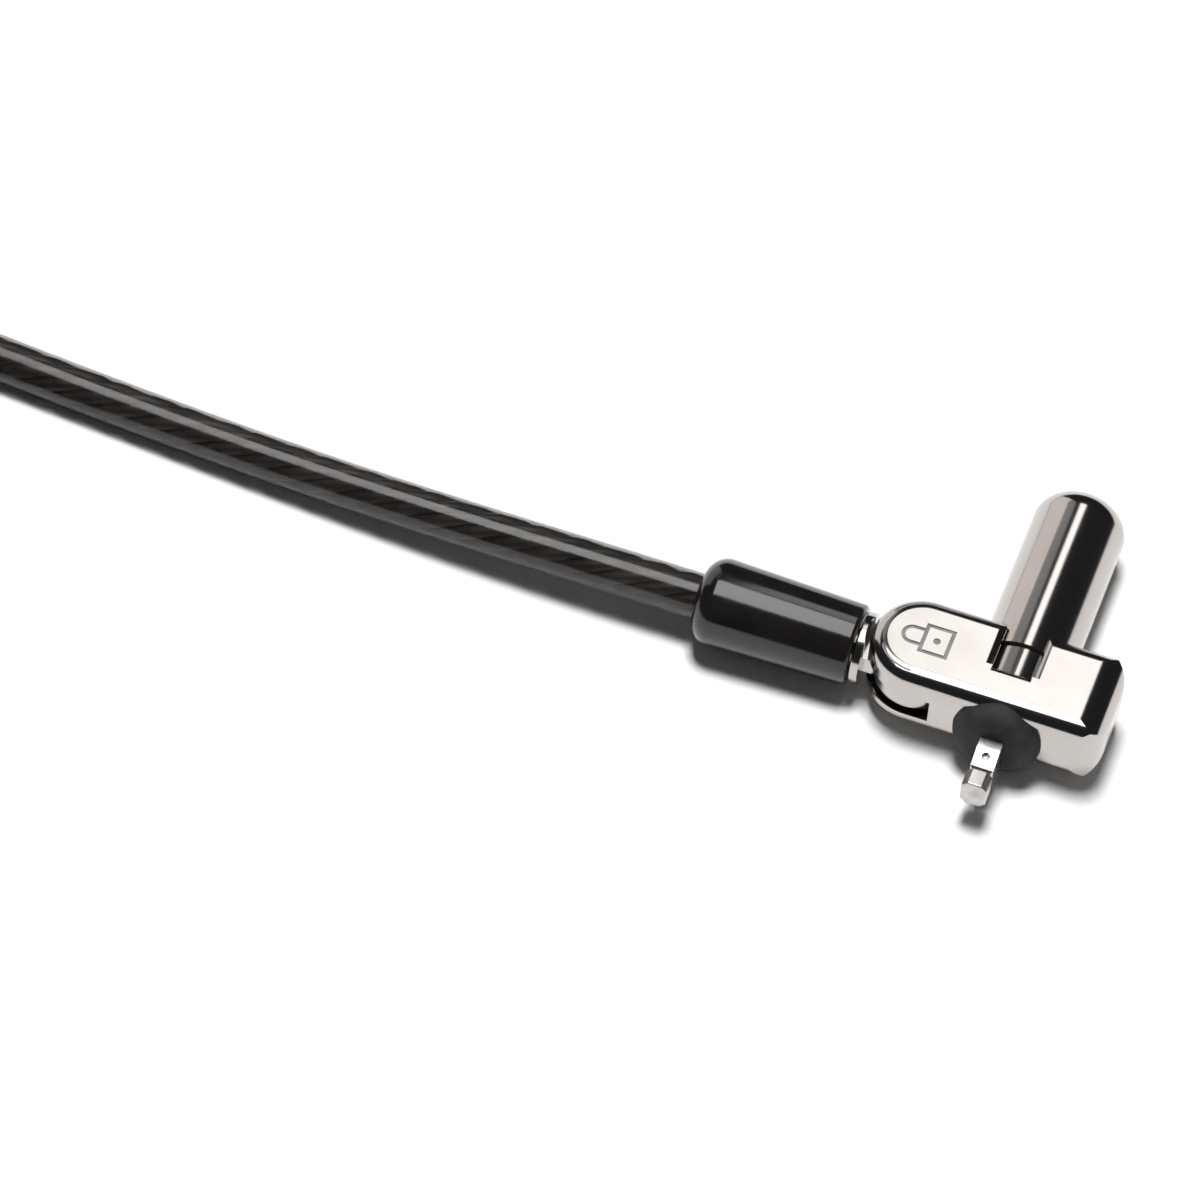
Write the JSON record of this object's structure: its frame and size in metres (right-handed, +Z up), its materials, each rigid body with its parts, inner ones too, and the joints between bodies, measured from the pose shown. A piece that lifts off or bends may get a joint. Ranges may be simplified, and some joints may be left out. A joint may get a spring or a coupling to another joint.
{
  "type": "laptop cable lock",
  "caption": "Laptop security lock: a key barrel in a pivoting metal head with a T-bar tip, on a swivelling steel cable with an anchor eye.",
  "frame": {"origin": "on the hinge pin's axis, at the surface that the lock lies on", "axes": "+X along the head, away from the cable; +Y along the barrel, towards the key; +Z up"},
  "size_m": [0.2086, 0.1274, 0.0223],
  "materials": {
    "bright_metal": "polished nickel plate on a zinc casting",
    "steel": "satin steel",
    "brass": "turned brass",
    "black_plastic": "gloss black moulding",
    "black_rubber": "matte black rubber",
    "cable_jacket": "smoke-tinted clear vinyl over galvanised steel strand",
    "strap": "black nylon strap"
  },
  "bodies": {
    "cable": {"cable_lead": "cable_jacket", "cable_coil": "cable_jacket", "cable_tail": "cable_jacket", "coil_tie_1": "strap", "coil_tie_2": "strap", "coil_tie_3": "strap", "anchor_loop": "cable_jacket", "loop_crimp": "steel", "cable_ferrule": "steel", "swivel_bush": "brass", "swivel_washer": "steel", "strain_sleeve": "black_plastic"},
    "knuckle": {"hinge_knuckle": "bright_metal", "swivel_clip": "steel"},
    "head": {"head_housing": "bright_metal", "pivot_pin": "steel", "pivot_washer_lower": "steel", "pivot_washer_upper": "steel", "barrel_shell": "bright_metal", "barrel_body": "bright_metal", "barrel_lock_pin": "steel", "driver_pins": "steel", "pin_springs": "steel", "nose_guide": "steel", "nose_pin": "steel", "rubber_bumper": "black_rubber"},
    "lock_core": {"key_plug": "brass", "key_pins": "brass", "core_clip": "steel", "drive_spindle": "steel"}
  },
  "joints": [
    {"name": "cable_swivel", "type": "hinge", "parent": "cable", "child": "knuckle", "pos_m": [-0.0091, 0, 0.0053], "axis": [1, 0, 0], "continuous": true},
    {"name": "head_pivot", "type": "hinge", "parent": "knuckle", "child": "head", "pos_m": [0, 0, 0.0053], "axis": [0, 0, 1], "range_deg": [-90, 90]},
    {"name": "key_turn", "type": "hinge", "parent": "head", "child": "lock_core", "pos_m": [0.0107, 0, 0.0053], "axis": [0, 1, 0], "range_deg": [0, 90]}
  ]
}
